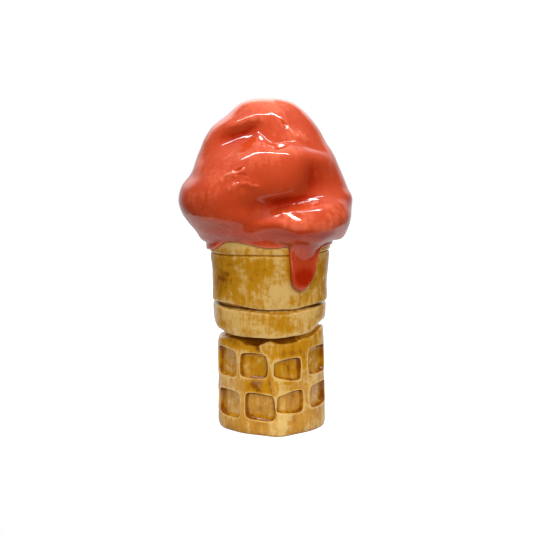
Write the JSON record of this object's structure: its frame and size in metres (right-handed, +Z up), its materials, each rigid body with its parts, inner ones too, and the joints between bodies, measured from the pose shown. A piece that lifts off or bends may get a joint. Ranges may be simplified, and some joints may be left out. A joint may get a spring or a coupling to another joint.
{
  "type": "ceramic ice cream cone",
  "caption": "Glazed ceramic figure of a flat-bottomed wafer cone with a melting coral scoop and one drip; stands on its foot.",
  "frame": {"origin": "middle of the flat foot, on the surface it stands on", "axes": "+Z up, along the cone from its foot to the top of the scoop; -Y is the front, the side that shows the drip; +X is to the right seen from the front"},
  "size_m": [0.0757, 0.0703, 0.144],
  "materials": {
    "honey_glaze": "glossy honey-coloured glaze over pale clay, darker where it pools",
    "coral_glaze": "glossy coral-red glaze, deeper in the folds"
  },
  "bodies": {
    "root": {"waffle_base": "honey_glaze", "collar_band": "honey_glaze", "cup": "honey_glaze", "scoop": "coral_glaze"}
  },
  "joints": []
}
